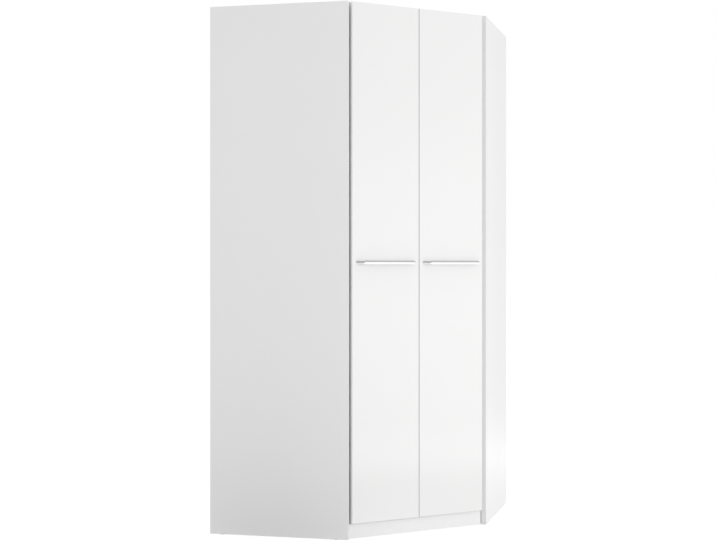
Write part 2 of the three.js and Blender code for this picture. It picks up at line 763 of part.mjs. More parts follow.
function hingeArm(name) {
  const webAngle = -Math.PI / 4 - THREE.MathUtils.degToRad(WEB_TURN);
  const half = ARM_THICKNESS / 2;
  const webSpread = Math.asin(half / hookInside);
  const channelStart = frontEdge + ARM_SETBACK;
  const channelEnd = channelStart + ARM_LENGTH;
  const strip = new THREE.Shape();
  strip.moveTo(hookInside, channelStart + OVERRUN);
  strip.lineTo(hookInside, 0);
  strip.absarc(0, 0, hookInside, 0, webAngle + webSpread, true);
  strip.lineTo(-half * Math.sin(webAngle), half * Math.cos(webAngle));
  strip.lineTo(half * Math.sin(webAngle), -half * Math.cos(webAngle));
  const webFoot = webAngle - Math.asin(half / hookOutside);
  strip.absarc(0, 0, hookOutside, webFoot, 0, false);
  strip.lineTo(hookOutside, channelStart + OVERRUN);
  const bandHalf = KNUCKLE_WIDTH / 2;
  const hook = upright(strip, -bandHalf, bandHalf, SMALL_SIDES);
  const knuckle = roundUp(knuckleRadius, 0, 0, -bandHalf, bandHalf, SMALL_SIDES);
  const bore = roundUp(
    PIN_RADIUS + PIN_PLAY,
    0,
    0,
    -bandHalf - OVERRUN,
    bandHalf + OVERRUN,
    SMALL_SIDES,
  );
  const wide = ARM_WIDTH / 2;
  const cheekFoot = insideFace + 2 * SEAM + PLATE_WING + SEAM;
  const channel = block(
    [cheekFoot, channelStart, -wide],
    [hookOutside, channelEnd, wide],
  );
  const hollow = block(
    [cheekFoot - OVERRUN, channelStart - OVERRUN, ARM_CHEEK - wide],
    [hookInside, channelEnd + OVERRUN, wide - ARM_CHEEK],
  );
  const slotMiddle = (channelStart + channelEnd) / 2;
  const slot = block(
    [hookInside - OVERRUN, slotMiddle - ARM_SLOT_LENGTH / 2, -ARM_SLOT_WIDTH / 2],
    [hookOutside + OVERRUN, slotMiddle + ARM_SLOT_LENGTH / 2, ARM_SLOT_WIDTH / 2],
  );
  const arm = cut(join(hook, knuckle, cut(channel, hollow)), bore, slot);
  return piece(name, arm, plated);
}

// Mounting plate: two wings screwed to the side panel, and a rib that the arm clips over

function hingePlate(name) {
  const foot = insideFace + SEAM;
  const wingTop = foot + PLATE_WING;
  const middle = frontEdge + PLATE_SETBACK;
  const screwHalf = PLATE_SCREW_SPACING / 2;
  const wingHalf = PLATE_WING_WIDTH / 2;
  const wings = new THREE.Shape();
  wings.absarc(middle, screwHalf, wingHalf, 0, Math.PI, false);
  wings.absarc(middle, -screwHalf, wingHalf, Math.PI, 2 * Math.PI, false);
  const wingPlate = sideways(wings, foot, wingTop, END_ARC_STEPS);
  const ribHalf = ARM_WIDTH / 2 - ARM_CHEEK - SEAM;
  const rib = block(
    [foot, middle - PLATE_RIB_LENGTH / 2, -ribHalf],
    [plateTop, middle + PLATE_RIB_LENGTH / 2, ribHalf],
  );
  const screwHoles = [-1, 1].map((way) =>
    roundAcross(
      SCREW_HOLE_RADIUS,
      middle,
      way * screwHalf,
      foot - OVERRUN,
      wingTop + OVERRUN,
      SMALL_SIDES,
    ),
  );
  return piece(name, cut(join(wingPlate, rib), ...screwHoles), plated);
}

// Assembly

function hinge(half, side, place, height) {
  half.add(hingeCup(`${side}_${place}_hinge_cup`, height));
  half.add(hingePin(`${side}_${place}_hinge_pin`, height));
  const frame = hingeFrame(height);
  frame.add(hingeArm(`${side}_${place}_hinge_arm`), hingePlate(`${side}_${place}_hinge_plate`));
  half.add(frame);
}

function pegAt(name, turn, x, y) {
  const mesh = peg(name);
  mesh.rotation.z = turn;
  mesh.position.set(x, y, pegHeight);
  return mesh;
}

function halfWardrobe(side) {
  const half = new THREE.Group();
  const wall = wallFrame();
  const towardsMiddle = Math.PI / 2; // a peg's stub turned to point along -x
  const glideX = WALL_LENGTH - SIDE_THICKNESS / 2;
  const webGap = STRIP_WEB / 2 + SEAM;
  wall.add(
    sidePanel(`${side}_side_panel`),
    backBoardPiece(`${side}_back_board_inner`, backStart, backMiddle - webGap),
    backBoardPiece(`${side}_back_board_outer`, backMiddle + webGap, backEnd),
    jointStrip(`${side}_back_joint_strip`),
    glide(`${side}_front_glide`, glideX, SIDE_DEPTH - GLIDE_SETBACK),
    glide(`${side}_rear_glide`, glideX, GLIDE_SETBACK),
    pegAt(`${side}_front_shelf_peg`, towardsMiddle, sideInside, SIDE_DEPTH - PIN_ROW_FRONT),
    pegAt(`${side}_rear_shelf_peg`, towardsMiddle, sideInside, PIN_ROW_REAR),
    wallBracket(`${side}_wall_bracket`),
  );
  half.add(wall, door(`${side}_door`), handle(`${side}_handle`), buffer(`${side}_door_buffer`));
  half.add(railSupport(`${side}_rail_support`));
  for (const [place, height] of Object.entries(hingeHeights)) hinge(half, side, place, height);
  return half;
}

function wardrobe() {
  const whole = new THREE.Group();
  const rightHalf = halfWardrobe("right");
  rightHalf.scale.x = -1;
  const wall = wallFrame();
  const postGlide = (SIDE_THICKNESS + SEAM) / 2;
  wall.add(
    horizontalBoard("top_board", topUnder, carcassFront, SEAM, rearEdge),
    horizontalBoard("bottom_board", bottomUnder, carcassFront, SEAM, rearEdge),
    horizontalBoard("hat_shelf", shelfUnder, shelfFront, SHELF_SIDE_GAP, shelfRear),
    cornerPost(),
    glide("corner_glide", postGlide, postGlide),
    pegAt("corner_shelf_peg", 0, postPegPlace, SIDE_THICKNESS),
  );
  whole.add(halfWardrobe("left"), rightHalf, wall, plinth(), stretcher(), clothesRail());
  whole.add(glide("middle_glide", 0, (stretcherStart + stretcherEnd) / 2));
  const frontReach = doorFront - HANDLE_PROJECTION;
  whole.position.y = -(frontReach + CORNER_Y) / 2;
  return whole;
}

const corner = new THREE.Group();
corner.add(wardrobe());

export default corner;
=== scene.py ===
import math

import bpy
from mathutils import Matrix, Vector


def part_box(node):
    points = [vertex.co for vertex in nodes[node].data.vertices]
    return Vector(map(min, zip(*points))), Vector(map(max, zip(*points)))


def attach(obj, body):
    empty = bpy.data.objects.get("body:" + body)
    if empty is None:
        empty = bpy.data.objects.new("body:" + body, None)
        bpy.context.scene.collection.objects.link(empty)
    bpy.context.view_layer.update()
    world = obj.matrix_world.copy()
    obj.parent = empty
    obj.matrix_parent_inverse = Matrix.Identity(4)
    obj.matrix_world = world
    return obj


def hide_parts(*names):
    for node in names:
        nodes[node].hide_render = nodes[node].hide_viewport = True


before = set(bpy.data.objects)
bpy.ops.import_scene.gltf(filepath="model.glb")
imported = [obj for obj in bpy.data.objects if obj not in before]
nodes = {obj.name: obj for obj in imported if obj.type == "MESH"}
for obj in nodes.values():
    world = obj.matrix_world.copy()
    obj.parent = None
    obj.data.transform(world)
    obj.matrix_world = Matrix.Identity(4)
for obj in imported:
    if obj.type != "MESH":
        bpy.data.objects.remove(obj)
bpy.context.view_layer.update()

# Viewpoint
# The wardrobe is seen level, from a little under chest height, well round to its left, through a
# long lens, so that the upright edges stay upright.
eye_turn = -30.709
eye_data = bpy.data.cameras.new("eye")
eye_data.sensor_width = 36
eye_data.lens = 71.94
eye_data.shift_y = -0.0024
eye = bpy.data.objects.new("eye", eye_data)
eye.location = (-2.8823, -4.9177, 0.9733)
eye.rotation_euler = (math.radians(90), 0, math.radians(eye_turn))
bpy.context.collection.objects.link(eye)
bpy.context.scene.camera = eye
bpy.context.scene.view_settings.view_transform = "Standard"


# Studio
# A pale seamless floor, in a wide white room, with one soft lamp in
# front and to the right, at chest height. The floor's matte colour is darker beside the left panel,
# a painted shadow. In reflections alone, the room is greyer high up in front and on the left, and
# the floor carries painted light: brighter in front and on the right, darker far to the left and
# before the doors.
class Wire:
    """A shader socket whose arithmetic adds Math nodes to its tree."""

    def __init__(self, tree, socket=None):
        self.tree = tree
        self.socket = socket

    def add(self, kind, settings=None, sockets=None, out=0):
        node = self.tree.nodes.new("ShaderNode" + kind)
        for name, value in (settings or {}).items():
            if name == "stops":
                for index, (place, colour) in enumerate(value):
                    if index > 1:
                        node.color_ramp.elements.new(place)
                    node.color_ramp.elements[index].position = place
                    node.color_ramp.elements[index].color = colour
            else:
                setattr(node, name, value)
        for name, value in (sockets or {}).items():
            if isinstance(value, Wire):
                self.tree.links.new(value.socket, node.inputs[name])
            else:
                node.inputs[name].default_value = value
        return Wire(self.tree, node.outputs[out] if node.outputs else None)

    def math(self, operation, *values):
        return self.add("Math", {"operation": operation}, dict(enumerate(values)))

    def ramp(self, value, start, end):
        """0 up to one value and 1 from another, with a smooth change between them."""
        settings = {"interpolation_type": "SMOOTHSTEP"}
        return self.add("MapRange", settings, {0: value, 1: start, 2: end})

    def __add__(self, other):
        return self.math("ADD", self, other)

    def __sub__(self, other):
        return self.math("SUBTRACT", self, other)

    def __rsub__(self, other):
        return self.math("SUBTRACT", other, self)

    def __mul__(self, other):
        return self.math("MULTIPLY", self, other)

    def __gt__(self, other):
        return self.math("GREATER_THAN", self, other)

    __radd__ = __add__
    __rmul__ = __mul__

    def mix(self, first, second):
        """Mixes two colours, with self as the share of the second."""
        settings = {"data_type": "RGBA", "clamp_factor": True}
        return self.add("Mix", settings, {0: self, 6: first, 7: second}, out=2)


def grey(level):
    return (level, level, level, 1)


room_world = bpy.data.worlds.new("white_room")
bpy.context.scene.world = room_world
room_world.use_nodes = True
room_world.node_tree.nodes.clear()
room = Wire(room_world.node_tree)
to_eye = room.add("LightPath", out="Is Camera Ray")
to_gloss = room.add("LightPath", out="Is Glossy Ray")
to_glass = room.add("LightPath", out="Is Transmission Ray")
direction = room.add("TexCoord", out="Generated")
rise = room.add("SeparateXYZ", sockets={0: direction}, out="Z")
sideways = room.add("SeparateXYZ", sockets={0: direction}, out="X")
depthways = room.add("SeparateXYZ", sockets={0: direction}, out="Y")
high_in_front = room.ramp(rise, 0.02, 0.13) * room.ramp(depthways, 0.3, -0.1)
on_left = room.ramp(sideways, -0.35, -0.9)
shown = to_eye + to_gloss + to_glass
room_light = 0.9
level = room_light + (1 - room_light) * shown
tone_high_in_front, left_dimming = 0.57, 0.45
tone = (high_in_front * to_gloss).mix(grey(1), grey(tone_high_in_front))
tone = (on_left * to_gloss * left_dimming).mix(tone, grey(0))
background = room.add("Background", sockets={"Color": tone, "Strength": level})
room.add("OutputWorld", sockets={"Surface": background})

softbox_target = Vector((0, -0.5, 1.0))
softbox_data = bpy.data.lights.new("softbox", "AREA")
softbox_data.shape = "SQUARE"
softbox_data.size = 2.2
softbox_data.energy = 24.3
softbox = bpy.data.objects.new("softbox", softbox_data)
softbox.location = (1.0, -3.55, 1.2)
softbox.visible_camera = False
softbox.visible_glossy = False
aim = softbox_target - softbox.location
softbox.rotation_euler = aim.to_track_quat("-Z", "Y").to_euler()
bpy.context.collection.objects.link(softbox)

floor_reach = 40
floor_mesh = bpy.data.meshes.new("floor")
corners = [(x * floor_reach, y * floor_reach, 0) for x, y in ((-1, -1), (1, -1), (1, 1), (-1, 1))]
floor_mesh.from_pydata(corners, [], [(0, 1, 2, 3)])
floor = bpy.data.objects.new("floor", floor_mesh)
bpy.context.collection.objects.link(floor)
floor_paint = bpy.data.materials.new("pale_floor")
floor_paint.use_nodes = True
floor_paint.node_tree.nodes.clear()
ground = Wire(floor_paint.node_tree)
floor_place = ground.add("NewGeometry", out="Position")


def patch(centre, rim, core):
    """1 nearer to a place on the floor than the core, and 0 past the rim."""
    sockets = {0: floor_place, 1: centre}
    away = ground.add("VectorMath", {"operation": "DISTANCE"}, sockets, out="Value")
    return ground.ramp(away, rim, core)


# Painted shadow: the floor's matte colour darkens near the foot of the left panel.
painted_shade_beside_left_panel = patch((-0.7, -0.53, 0), 0.62, 0.1)
# Painted light on the floor's glow, seen in reflections only: brighter in front and beside the
# right panel.
painted_light_in_front = patch((1.0, -0.9, 0), 2.8, 1.6)
painted_light_beside_right_panel = patch((2.1, 0.65, 0), 1.1, 0.1)
# Painted shade in reflections: the floor's glow is dimmer far to the left and before the doors.
floor_x = ground.add("SeparateXYZ", sockets={0: floor_place}, out="X")
painted_shade_far_left = ground.ramp(floor_x, -0.6, -1.5)
flat_glance = ground.ramp(ground.add("LayerWeight", sockets={"Blend": 0.5}, out="Facing"), 0.6, 0.8)
painted_shade_before_doors = patch((0.65, -1.3, 0), 1.15, 0.2) * flat_glance
# The matte colour carries the painted shadow beside the left panel.
matte_colour_with_painted_shadow = painted_shade_beside_left_panel.mix(grey(0.72), grey(0.3))
matte = ground.add("BsdfDiffuse", sockets={"Color": matte_colour_with_painted_shadow})
mirrored = ground.add("LightPath", out="Is Glossy Ray")
# The floor's glow in reflections, with its painted light and shade.
painted_reflection_light = 0.25 * painted_light_in_front + 1.6 * painted_light_beside_right_panel - 0.7 * painted_shade_far_left - 0.8 * painted_shade_before_doors
floor_white = 1.25
white = ground.add("Emission", sockets={"Color": floor_white + mirrored * painted_reflection_light, "Strength": 1.0})
seen = (
    mirrored
    + ground.add("LightPath", out="Is Camera Ray")
    + ground.add("LightPath", out="Is Transmission Ray")
)
white_share = 0.75
whitened = ground.add("MixShader", sockets={0: seen * white_share, 1: matte, 2: white})
ground.add("OutputMaterial", sockets={"Surface": whitened})
floor_mesh.materials.append(floor_paint)


# Carcass boards
# White melamine-faced chipboard, 18 mm for the sides and 16 mm for the rest, cut square. The front
# edges are banded, and the rear and lower edges, which nobody sees, are left raw. The right panel's
# front edge band is greyer, a painted shade beside the right door, and the plinth and stretcher are
# whiter than the other boards, a painted light. The plinth is cut a little short, so that it drops
# in between the side panels.
def paint(name):
    """A new material with an empty node tree, as the material and a Wire in its tree."""
    material = bpy.data.materials.new(name)
    material.use_nodes = True
    material.node_tree.nodes.clear()
    return material, Wire(material.node_tree)


def surface(wire, colour, roughness, normal, **others):
    """Ends a material in one Principled shader."""
    sockets = {"Base Color": colour, "Roughness": roughness, "Normal": normal}
    for key, value in others.items():
        sockets[key.replace("_", " ").title().replace("Ior", "IOR")] = value
    shader = wire.add("BsdfPrincipled", sockets=sockets)
    wire.add("OutputMaterial", sockets={"Surface": shader})


def noise(wire, place, scale, detail):
    sockets = {"Vector": place, "Scale": scale, "Detail": detail, "Roughness": 0.55}
    return wire.add("TexNoise", sockets=sockets, out="Fac")


def stretched(wire, place, factors):
    return wire.add("VectorMath", {"operation": "MULTIPLY"}, {0: place, 1: factors})


def facing(wire, direction, limit=0.9):
    """1 where the surface at rest faces a direction."""
    normal = wire.add("TexCoord", out="Normal")
    sockets = {0: normal, 1: Vector(direction).normalized()}
    return wire.add("VectorMath", {"operation": "DOT_PRODUCT"}, sockets, out="Value") > limit


def raised(wire, height, depth):
    """A bump of a real depth, in metres."""
    return wire.add("Bump", sockets={"Height": height, "Distance": depth, "Strength": 1.0})


def chipboard_colour(wire, place):
    flakes = wire.add("TexVoronoi", sockets={"Vector": place, "Scale": 420.0}, out="Color")
    chips = wire.add("SeparateXYZ", sockets={0: flakes}, out="X")
    dust = noise(wire, place, 1500.0, 3)
    stops = [
        (0.15, (0.19, 0.11, 0.055, 1)),
        (0.5, (0.42, 0.28, 0.16, 1)),
        (0.85, (0.66, 0.50, 0.33, 1)),
    ]
    return wire.add("ValToRGB", {"stops": stops}, {0: chips * 0.65 + dust * 0.35})


def board_finish(name, raw_directions, shaded_band_direction=None, white=0.872):
    """Melamine, raw on the sides that face some directions, with painted shade on the banded side
    that faces one.
    """
    band_painted_shade = 0.80
    material, wire = paint(name)
    place = wire.add("TexCoord", out="Object")
    cloud = noise(wire, place, 2.5, 3)
    pearl = noise(wire, place, 700.0, 2)
    colour = cloud.mix(grey(white), grey(white + 0.028))
    raw = facing(wire, raw_directions[0])
    for direction in raw_directions[1:]:
        raw = raw.math("MAXIMUM", raw, facing(wire, direction))
    if shaded_band_direction:
        # Painted shade: the banded edge is greyer than the face.
        colour = facing(wire, shaded_band_direction).mix(colour, grey(band_painted_shade))
    colour = raw.mix(colour, chipboard_colour(wire, place))
    chips = noise(wire, place, 500.0, 3)
    roughness = 0.4 + 0.08 * pearl + 0.4 * raw
    relief = pearl * (1 - raw) * 0.12 + chips * raw
    surface(wire, colour, roughness, raised(wire, relief, 0.0004))
    return material


def repaint(node, material):
    data = nodes[node].data
    data.materials.clear()
    data.materials.append(material)


def copied(node, name, material):
    """A copy of a board's solid that replaces it, so that its shape can be worked on."""
    piece = bpy.data.objects.new(name, nodes[node].data.copy())
    bpy.context.collection.objects.link(piece)
    piece.data.materials.clear()
    piece.data.materials.append(material)
    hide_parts(node)
    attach(piece, "carcass")
    return piece


towards_left_wall = (-1, 1, 0)
towards_right_wall = (1, 1, 0)
down = (0, 0, -1)
left_side = board_finish("board_left_side", [towards_left_wall, down], white=0.878)
# The right panel's front edge band carries painted shade beside the right door.
right_side = board_finish("board_right_side", [towards_right_wall, down], (-1, -1, 0), 0.88)
level_board = board_finish("board_level", [towards_left_wall, towards_right_wall])
post_board = board_finish("board_post", [down, (0, 0, 1)])
# Painted light: the plinth and stretcher board is whiter than the other melamine, standing in for
# light on the plinth.
lightened_low_board = board_finish("board_low_lightened", [down, (0, 1, 0)], white=0.92)
repaint("left_side_panel", left_side)
repaint("right_side_panel", right_side)
for node in ("bottom_board", "top_board", "hat_shelf"):
    repaint(node, level_board)
repaint("rear_corner_post", post_board)
# The stretcher and plinth take the lightened board, a painted light.
repaint("plinth_stretcher", lightened_low_board)
plinth_play_left, plinth_play_right = 0.001, 0.003
plinth = copied("plinth", "plinth_front", lightened_low_board)
for vertex in plinth.data.vertices:
    vertex.co.x += plinth_play_left if vertex.co.x < 0 else -plinth_play_right


# Floor glides
# Small round discs of hard white plastic, nailed under the panels, the corner post and the
# stretcher.
def plastic_finish(name, level, roughness):
    material, wire = paint(name)
    place = wire.add("TexCoord", out="Object")
    grain = noise(wire, place, 2600.0, 2)
    tone = noise(wire, place, 60.0, 2).mix(grey(level * 0.96), grey(level))
    surface(wire, tone, roughness + 0.1 * grain, raised(wire, grain, 0.00006))
    return material


hard_plastic = plastic_finish("hard_white_plastic", 0.82, 0.4)
for node in nodes:
    if node.endswith("_glide"):
        repaint(node, hard_plastic)


# Rear walls
# Thin hardboard, lacquered white on the inside and left brown on the side towards the room's
# walls. The boards of one wall meet in an H-shaped plastic strip, and flat-headed steel nails hold
# them to the rear edges of the top and bottom boards.
def hardboard_finish(name, outside):
    material, wire = paint(name)
    place = wire.add("TexCoord", out="Object")
    fibre = noise(wire, stretched(wire, place, (900.0, 900.0, 260.0)), 1.0, 4)
    blotch = noise(wire, place, 9.0, 4)
    brown = (blotch * 0.3 + fibre * 0.7).mix((0.21, 0.125, 0.066, 1), (0.40, 0.265, 0.155, 1))
    lacquer = fibre.mix((0.85, 0.85, 0.84, 1), (0.88, 0.88, 0.87, 1))
    back = facing(wire, outside)
    surface(
        wire,
        back.mix(lacquer, brown),
        0.5 + 0.3 * back,
        raised(wire, fibre, 0.00012),
    )
    return material


left_hardboard = hardboard_finish("hardboard_left", towards_left_wall)
right_hardboard = hardboard_finish("hardboard_right", towards_right_wall)
for place_name in ("inner", "outer"):
    repaint(f"left_back_board_{place_name}", left_hardboard)
    repaint(f"right_back_board_{place_name}", right_hardboard)
for side in ("left", "right"):
    repaint(f"{side}_back_joint_strip", hard_plastic)


def satin_metal(name, dark, light, roughness):
    material, wire = paint(name)
    place = wire.add("TexCoord", out="Object")
    brushed = noise(wire, stretched(wire, place, (300.0, 300.0, 2200.0)), 1.0, 3)
    dull = noise(wire, place, 120.0, 3)
    surface(
        wire,
        dull.mix(dark, light),
        roughness + 0.07 * brushed,
        raised(wire, brushed, 0.000003),
        metallic=1.0,
    )
    return material


def shaped(name, points, faces, material, crease):
    """A smooth piece, sharp where its surface turns by more than the crease, in degrees."""
    mesh = bpy.data.meshes.new(name)
    mesh.from_pydata(points, [], faces)
    mesh.validate()
    for polygon in mesh.polygons:
        polygon.use_smooth = True
    mesh.set_sharp_from_angle(angle=math.radians(crease))
    mesh.materials.append(material)
    piece = bpy.data.objects.new(name, mesh)
    bpy.context.collection.objects.link(piece)
    return piece


def turned(name, places, profile, material, steps=32):
    """One piece of several like round parts, each given as (point, direction out)."""
    points, faces = [], []
    for at, out in places:
        out = Vector(out).normalized()
        side = out.orthogonal().normalized()
        other = out.cross(side)
        start = len(points)
        for radius, rise in profile:
            for step in range(steps):
                turn = 2 * math.pi * step / steps
                reach = radius(turn) if callable(radius) else radius
                spoke = side * math.cos(turn) + other * math.sin(turn)
                points.append(Vector(at) + out * rise + spoke * reach)
        for k in range(len(profile) - 1):
            a, b = start + k * steps, start + (k + 1) * steps
            for i in range(steps):
                j = (i + 1) % steps
                faces.append((a + i, a + j, b + j, b + i))
        faces.append(tuple(start + i for i in reversed(range(steps))))
        faces.append(tuple(start + (len(profile) - 1) * steps + i for i in range(steps)))
    return shaped(name, points, faces, material, crease=30)


corner_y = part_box("rear_corner_post")[1].y


def from_corner(along_left, along_right, height):
    """A point given by its distances along the two room walls."""
    x = (along_right - along_left) / math.sqrt(2)
    return Vector((x, corner_y - (along_left + along_right) / math.sqrt(2), height))


nail_steel = satin_metal("nail_steel", grey(0.50), grey(0.62), 0.3)
nail_shank, nail_head, nail_crown = 0.0008, 0.0024, 0.0017
nail_profile = [
    (nail_shank, -0.0025),
    (nail_shank, 0),
    (nail_head, 0),
    (nail_head, 0.0003),
    (nail_crown, 0.0005),
]
hardboard_outside, hardboard_inside = 0.0103, 0.0133
nail_margin, nails_in_row = 0.035, 4
nail_heights = (
    (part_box("top_board")[0].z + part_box("left_back_board_inner")[1].z) / 2,
    (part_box("bottom_board")[0].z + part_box("bottom_board")[1].z) / 2,
)
for side, way, outside in (("left", 1, towards_left_wall), ("right", -1, towards_right_wall)):
    places = []
    for place_name in ("inner", "outer"):
        low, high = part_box(f"left_back_board_{place_name}")
        first = hardboard_inside - high.x * math.sqrt(2) + nail_margin
        last = hardboard_outside - low.x * math.sqrt(2) - nail_margin
        for index in range(nails_in_row):
            along = first + (last - first) * index / (nails_in_row - 1)
            for height in nail_heights:
                spot = from_corner(along, hardboard_outside, height)
                places.append((Vector((spot.x * way, spot.y, spot.z)), outside))
    nails = turned(f"{side}_back_board_nails", places, nail_profile, nail_steel, steps=16)
    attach(nails, "carcass")


# Clothes rail
# An oval tube of chromed steel, cut square, between two cast sockets that are screwed up into the
# hat shelf.
def chrome_finish(name):
    material, wire = paint(name)
    place = wire.add("TexCoord", out="Object")
    hair = noise(wire, stretched(wire, place, (40.0, 900.0, 900.0)), 1.0, 3)
    smear = noise(wire, place, 25.0, 3)
    tone = smear.mix((0.87, 0.875, 0.885, 1), (0.92, 0.925, 0.935, 1))
    surface(
        wire,
        tone,
        0.05 + 0.05 * smear + 0.02 * hair,
        raised(wire, hair, 0.000004),
        metallic=1.0,
    )
    return material


def skin(name, rings, material, round_trip=False):
    """A mesh through rings of equally many points, capped at its ends or closed on itself."""
    count = len(rings[0])
    points = [point for ring in rings for point in ring]
    faces = []
    for k in range(len(rings) if round_trip else len(rings) - 1):
        here, there = k * count, (k + 1) % len(rings) * count
        for i in range(count):
            j = (i + 1) % count
            faces.append((here + i, here + j, there + j, there + i))
    if not round_trip:
        faces.append(tuple(reversed(range(count))))
        faces.append(tuple(range((len(rings) - 1) * count, len(rings) * count)))
    return shaped(name, points, faces, material, crease=38)


def oval(x, y, z, half_wide, half_tall, steps=16):
    """An upright oval with half-round ends, square to x."""
    straight = half_tall - half_wide
    ring = []
    for end, middle in ((0, z + straight), (1, z - straight)):
        for step in range(steps + 1):
            turn = math.pi * (end + step / steps)
            ring.append((x, y + half_wide * math.cos(turn), middle + half_wide * math.sin(turn)))
    return ring


chrome = chrome_finish("bright_chrome")
low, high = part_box("clothes_rail")
rail_y, rail_z = (low.y + high.y) / 2, (low.z + high.z) / 2
half_wide, half_tall = (high.y - low.y) / 2, (high.z - low.z) / 2
rail_wall, rail_soft = 0.0012, 0.0004
rail_rings = [
    oval(low.x, rail_y, rail_z, half_wide - rail_soft, half_tall - rail_soft),
    oval(low.x + rail_soft, rail_y, rail_z, half_wide, half_tall),
    oval(high.x - rail_soft, rail_y, rail_z, half_wide, half_tall),
    oval(high.x, rail_y, rail_z, half_wide - rail_soft, half_tall - rail_soft),
    oval(high.x, rail_y, rail_z, half_wide - rail_wall, half_tall - rail_wall),
    oval(low.x, rail_y, rail_z, half_wide - rail_wall, half_tall - rail_wall),
]
rail = skin("clothes_rail_tube", rail_rings, chrome, round_trip=True)
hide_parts("clothes_rail")
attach(rail, "carcass")
for side in ("left", "right"):
    repaint(f"{side}_rail_support", chrome)


# Shelf pegs, wall brackets and screws
# Turned and pressed steel with a satin nickel plating. The screws are countersunk, with a cross
# recess, and each one fills a hole of the fitting that it holds.
nickel = satin_metal("satin_nickel", (0.60, 0.595, 0.58, 1), (0.70, 0.695, 0.68, 1), 0.22)
for node in nodes:
    if "peg" in node or "bracket" in node:
        repaint(node, nickel)


def screws(name, places, body, head=0.0036, dome=0.0007):
    """Screws whose heads' rims lie at their points."""
    shank, depth = 0.0019, 0.003

    def cross(turn):
        return head * (0.2 + 0.36 * abs(math.cos(2 * turn)) ** 5)

    profile = [
        (shank, -depth),
        (shank, -dome),
        (head, 0),
        (head * 0.96, dome * 0.45),
        (head * 0.78, dome),
        (cross, dome),
        (lambda turn: cross(turn) * 0.8, -dome),
    ]
    piece = turned(name, places, profile, nickel)
    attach(piece, body)


flange_thickness, flange_length, stem_thickness = 0.003, 0.052, 0.009
flange_screw_half = (flange_length + stem_thickness) / 4
for side in ("left", "right"):
    low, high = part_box(f"{side}_rail_support")
    middle = (low + high) / 2
    under = high.z - flange_thickness
    ends = (middle.y - flange_screw_half, middle.y + flange_screw_half)
    places = [((middle.x, y, under), (0, 0, -1)) for y in ends]
    screws(f"{side}_rail_support_screws", places, "carcass")

bracket_place, bracket_back, bracket_hole, bracket_thickness = 0.3, 0.0136, 0.016, 0.002
for side in ("left", "right"):
    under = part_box(f"{side}_wall_bracket")[1].z - bracket_thickness
    spot = from_corner(bracket_place, bracket_back + bracket_hole, under)
    if side == "right":
        spot.x = -spot.x
    screws(f"{side}_wall_bracket_screw", [(spot, (0, 0, -1))], "carcass", head=0.0042)


# Cam fittings
# Round zinc cams, 15 mm across, that pull the side panels tight. They sit just below flush in
# holes bored into the upper face of the top board and the lower face of the bottom board.
cam_radius, cam_clearance, cam_sunk, cam_round = 0.0074, 0.0002, 0.0003, 0.0004
cam_bottom, recess_bottom = -0.0125, -0.004
bore_bottom, bore_top = -0.0126, 0.002
cam_from_edge, cam_rows = 0.034, (0.07, 0.44)
side_inside = 0.932
zinc = satin_metal("cast_zinc", grey(0.40), grey(0.52), 0.4)


def cam_recess(turn):
    return cam_radius * (0.12 + 0.4 * abs(math.cos(2 * turn)) ** 7)


cam_profile = [
    (cam_radius, cam_bottom),
    (cam_radius, -cam_sunk - cam_round),
    (cam_radius * 0.95, -cam_sunk),
    (cam_recess, -cam_sunk),
    (lambda turn: cam_recess(turn) * 0.8, recess_bottom),
]
bore_radius = cam_radius + cam_clearance
bore_profile = [(bore_radius, bore_bottom), (bore_radius, bore_top)]
for level_name, way in (("top", 1), ("bottom", -1)):
    node = f"{level_name}_board"
    low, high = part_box(node)
    places = []
    for along in cam_rows:
        spot = from_corner(side_inside - cam_from_edge, along, high.z if way > 0 else low.z)
        places += [(spot, (0, 0, way)), (Vector((-spot.x, spot.y, spot.z)), (0, 0, way))]
    bores = turned(f"{level_name}_bores", places, bore_profile, level_board)
    board = copied(node, f"{level_name}_board_bored", level_board)
    board.modifiers.new("boring", "BOOLEAN").object = bores
    bored = board.evaluated_get(bpy.context.evaluated_depsgraph_get())
    board.data = bpy.data.meshes.new_from_object(bored)
    board.modifiers.clear()
    bpy.data.objects.remove(bores)
    fittings = turned(f"{level_name}_board_cams", places, cam_profile, zinc)
    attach(fittings, "carcass")


# Doors
# Flat fronts of 22 mm board wrapped in white high-gloss film, with softly rounded front edges. The
# back of each door is satin white. The upright edges carry painted light and shade: greyer where
# the doors meet, a painted shade in the gap, and whiter on the outer edges, a painted light.
def gloss_finish(name):
    material, wire = paint(name)
    place = wire.add("TexCoord", out="Object")
    inside = facing(wire, (0, 1, 0), 0.5)
    cloud = noise(wire, place, 1.6, 2)
    colour = cloud.mix((0.90, 0.90, 0.897, 1), (0.915, 0.915, 0.912, 1))
    # Painted shade on the meeting edges and painted light on the outer ones.
    painted_upright_edge = facing(wire, (1, 0, 0), 0.6) + facing(wire, (-1, 0, 0), 0.6)
    from_middle = wire.math("ABSOLUTE", wire.add("SeparateXYZ", sockets={0: place}, out="X"))
    meeting_painted_shade, outer_painted_light = 0.80, 0.96
    edge_painted_light_and_shade = wire.ramp(from_middle, 0.1, 0.2).mix(grey(meeting_painted_shade), grey(outer_painted_light))
    colour = painted_upright_edge.mix(colour, edge_painted_light_and_shade)
    wave = noise(wire, place, 14.0, 2)
    pearl = noise(wire, place, 700.0, 2)
    relief = wave * (1 - inside) + pearl * inside * 0.2
    surface(
        wire,
        colour,
        0.09 + 0.33 * inside,
        raised(wire, relief, 0.0002),
        coat_weight=0.6 * (1 - inside),
        coat_roughness=0.03,
    )
    return material


gloss = gloss_finish("high_gloss_white")
for side in ("left", "right"):
    repaint(f"{side}_door", gloss)


